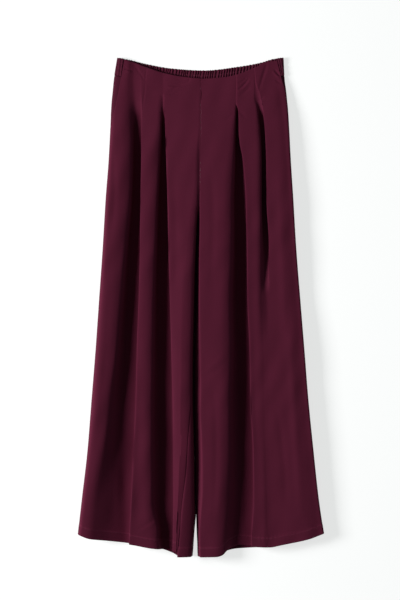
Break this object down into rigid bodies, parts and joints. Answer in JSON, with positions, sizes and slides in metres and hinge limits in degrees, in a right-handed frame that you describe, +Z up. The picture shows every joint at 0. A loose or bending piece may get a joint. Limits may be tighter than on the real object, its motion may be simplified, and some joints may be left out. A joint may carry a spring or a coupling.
{
  "type": "palazzo pants",
  "caption": "Wide-leg trousers laid flat, front up: released waist pleats, slanting pockets, gathered elastic back waist, deep folds down to flared hems.",
  "frame": {"origin": "on the surface that the cloth lies on, under the middle of the garment's box", "axes": "+Z up out of the surface, +Y towards the waist, +X towards the wearer's left leg, front panels up"},
  "size_m": [0.4901, 0.995, 0.0336],
  "materials": {
    "crepe": "matt wine crepe with a fine twill grain",
    "elastic_casing": "the same crepe, gathered on elastic"
  },
  "bodies": {
    "root": {"front_right": "crepe", "front_left": "crepe", "back_right": "crepe", "back_left": "crepe", "back_waistband": "elastic_casing", "pocket_facing_right": "crepe", "pocket_facing_left": "crepe"}
  },
  "joints": []
}
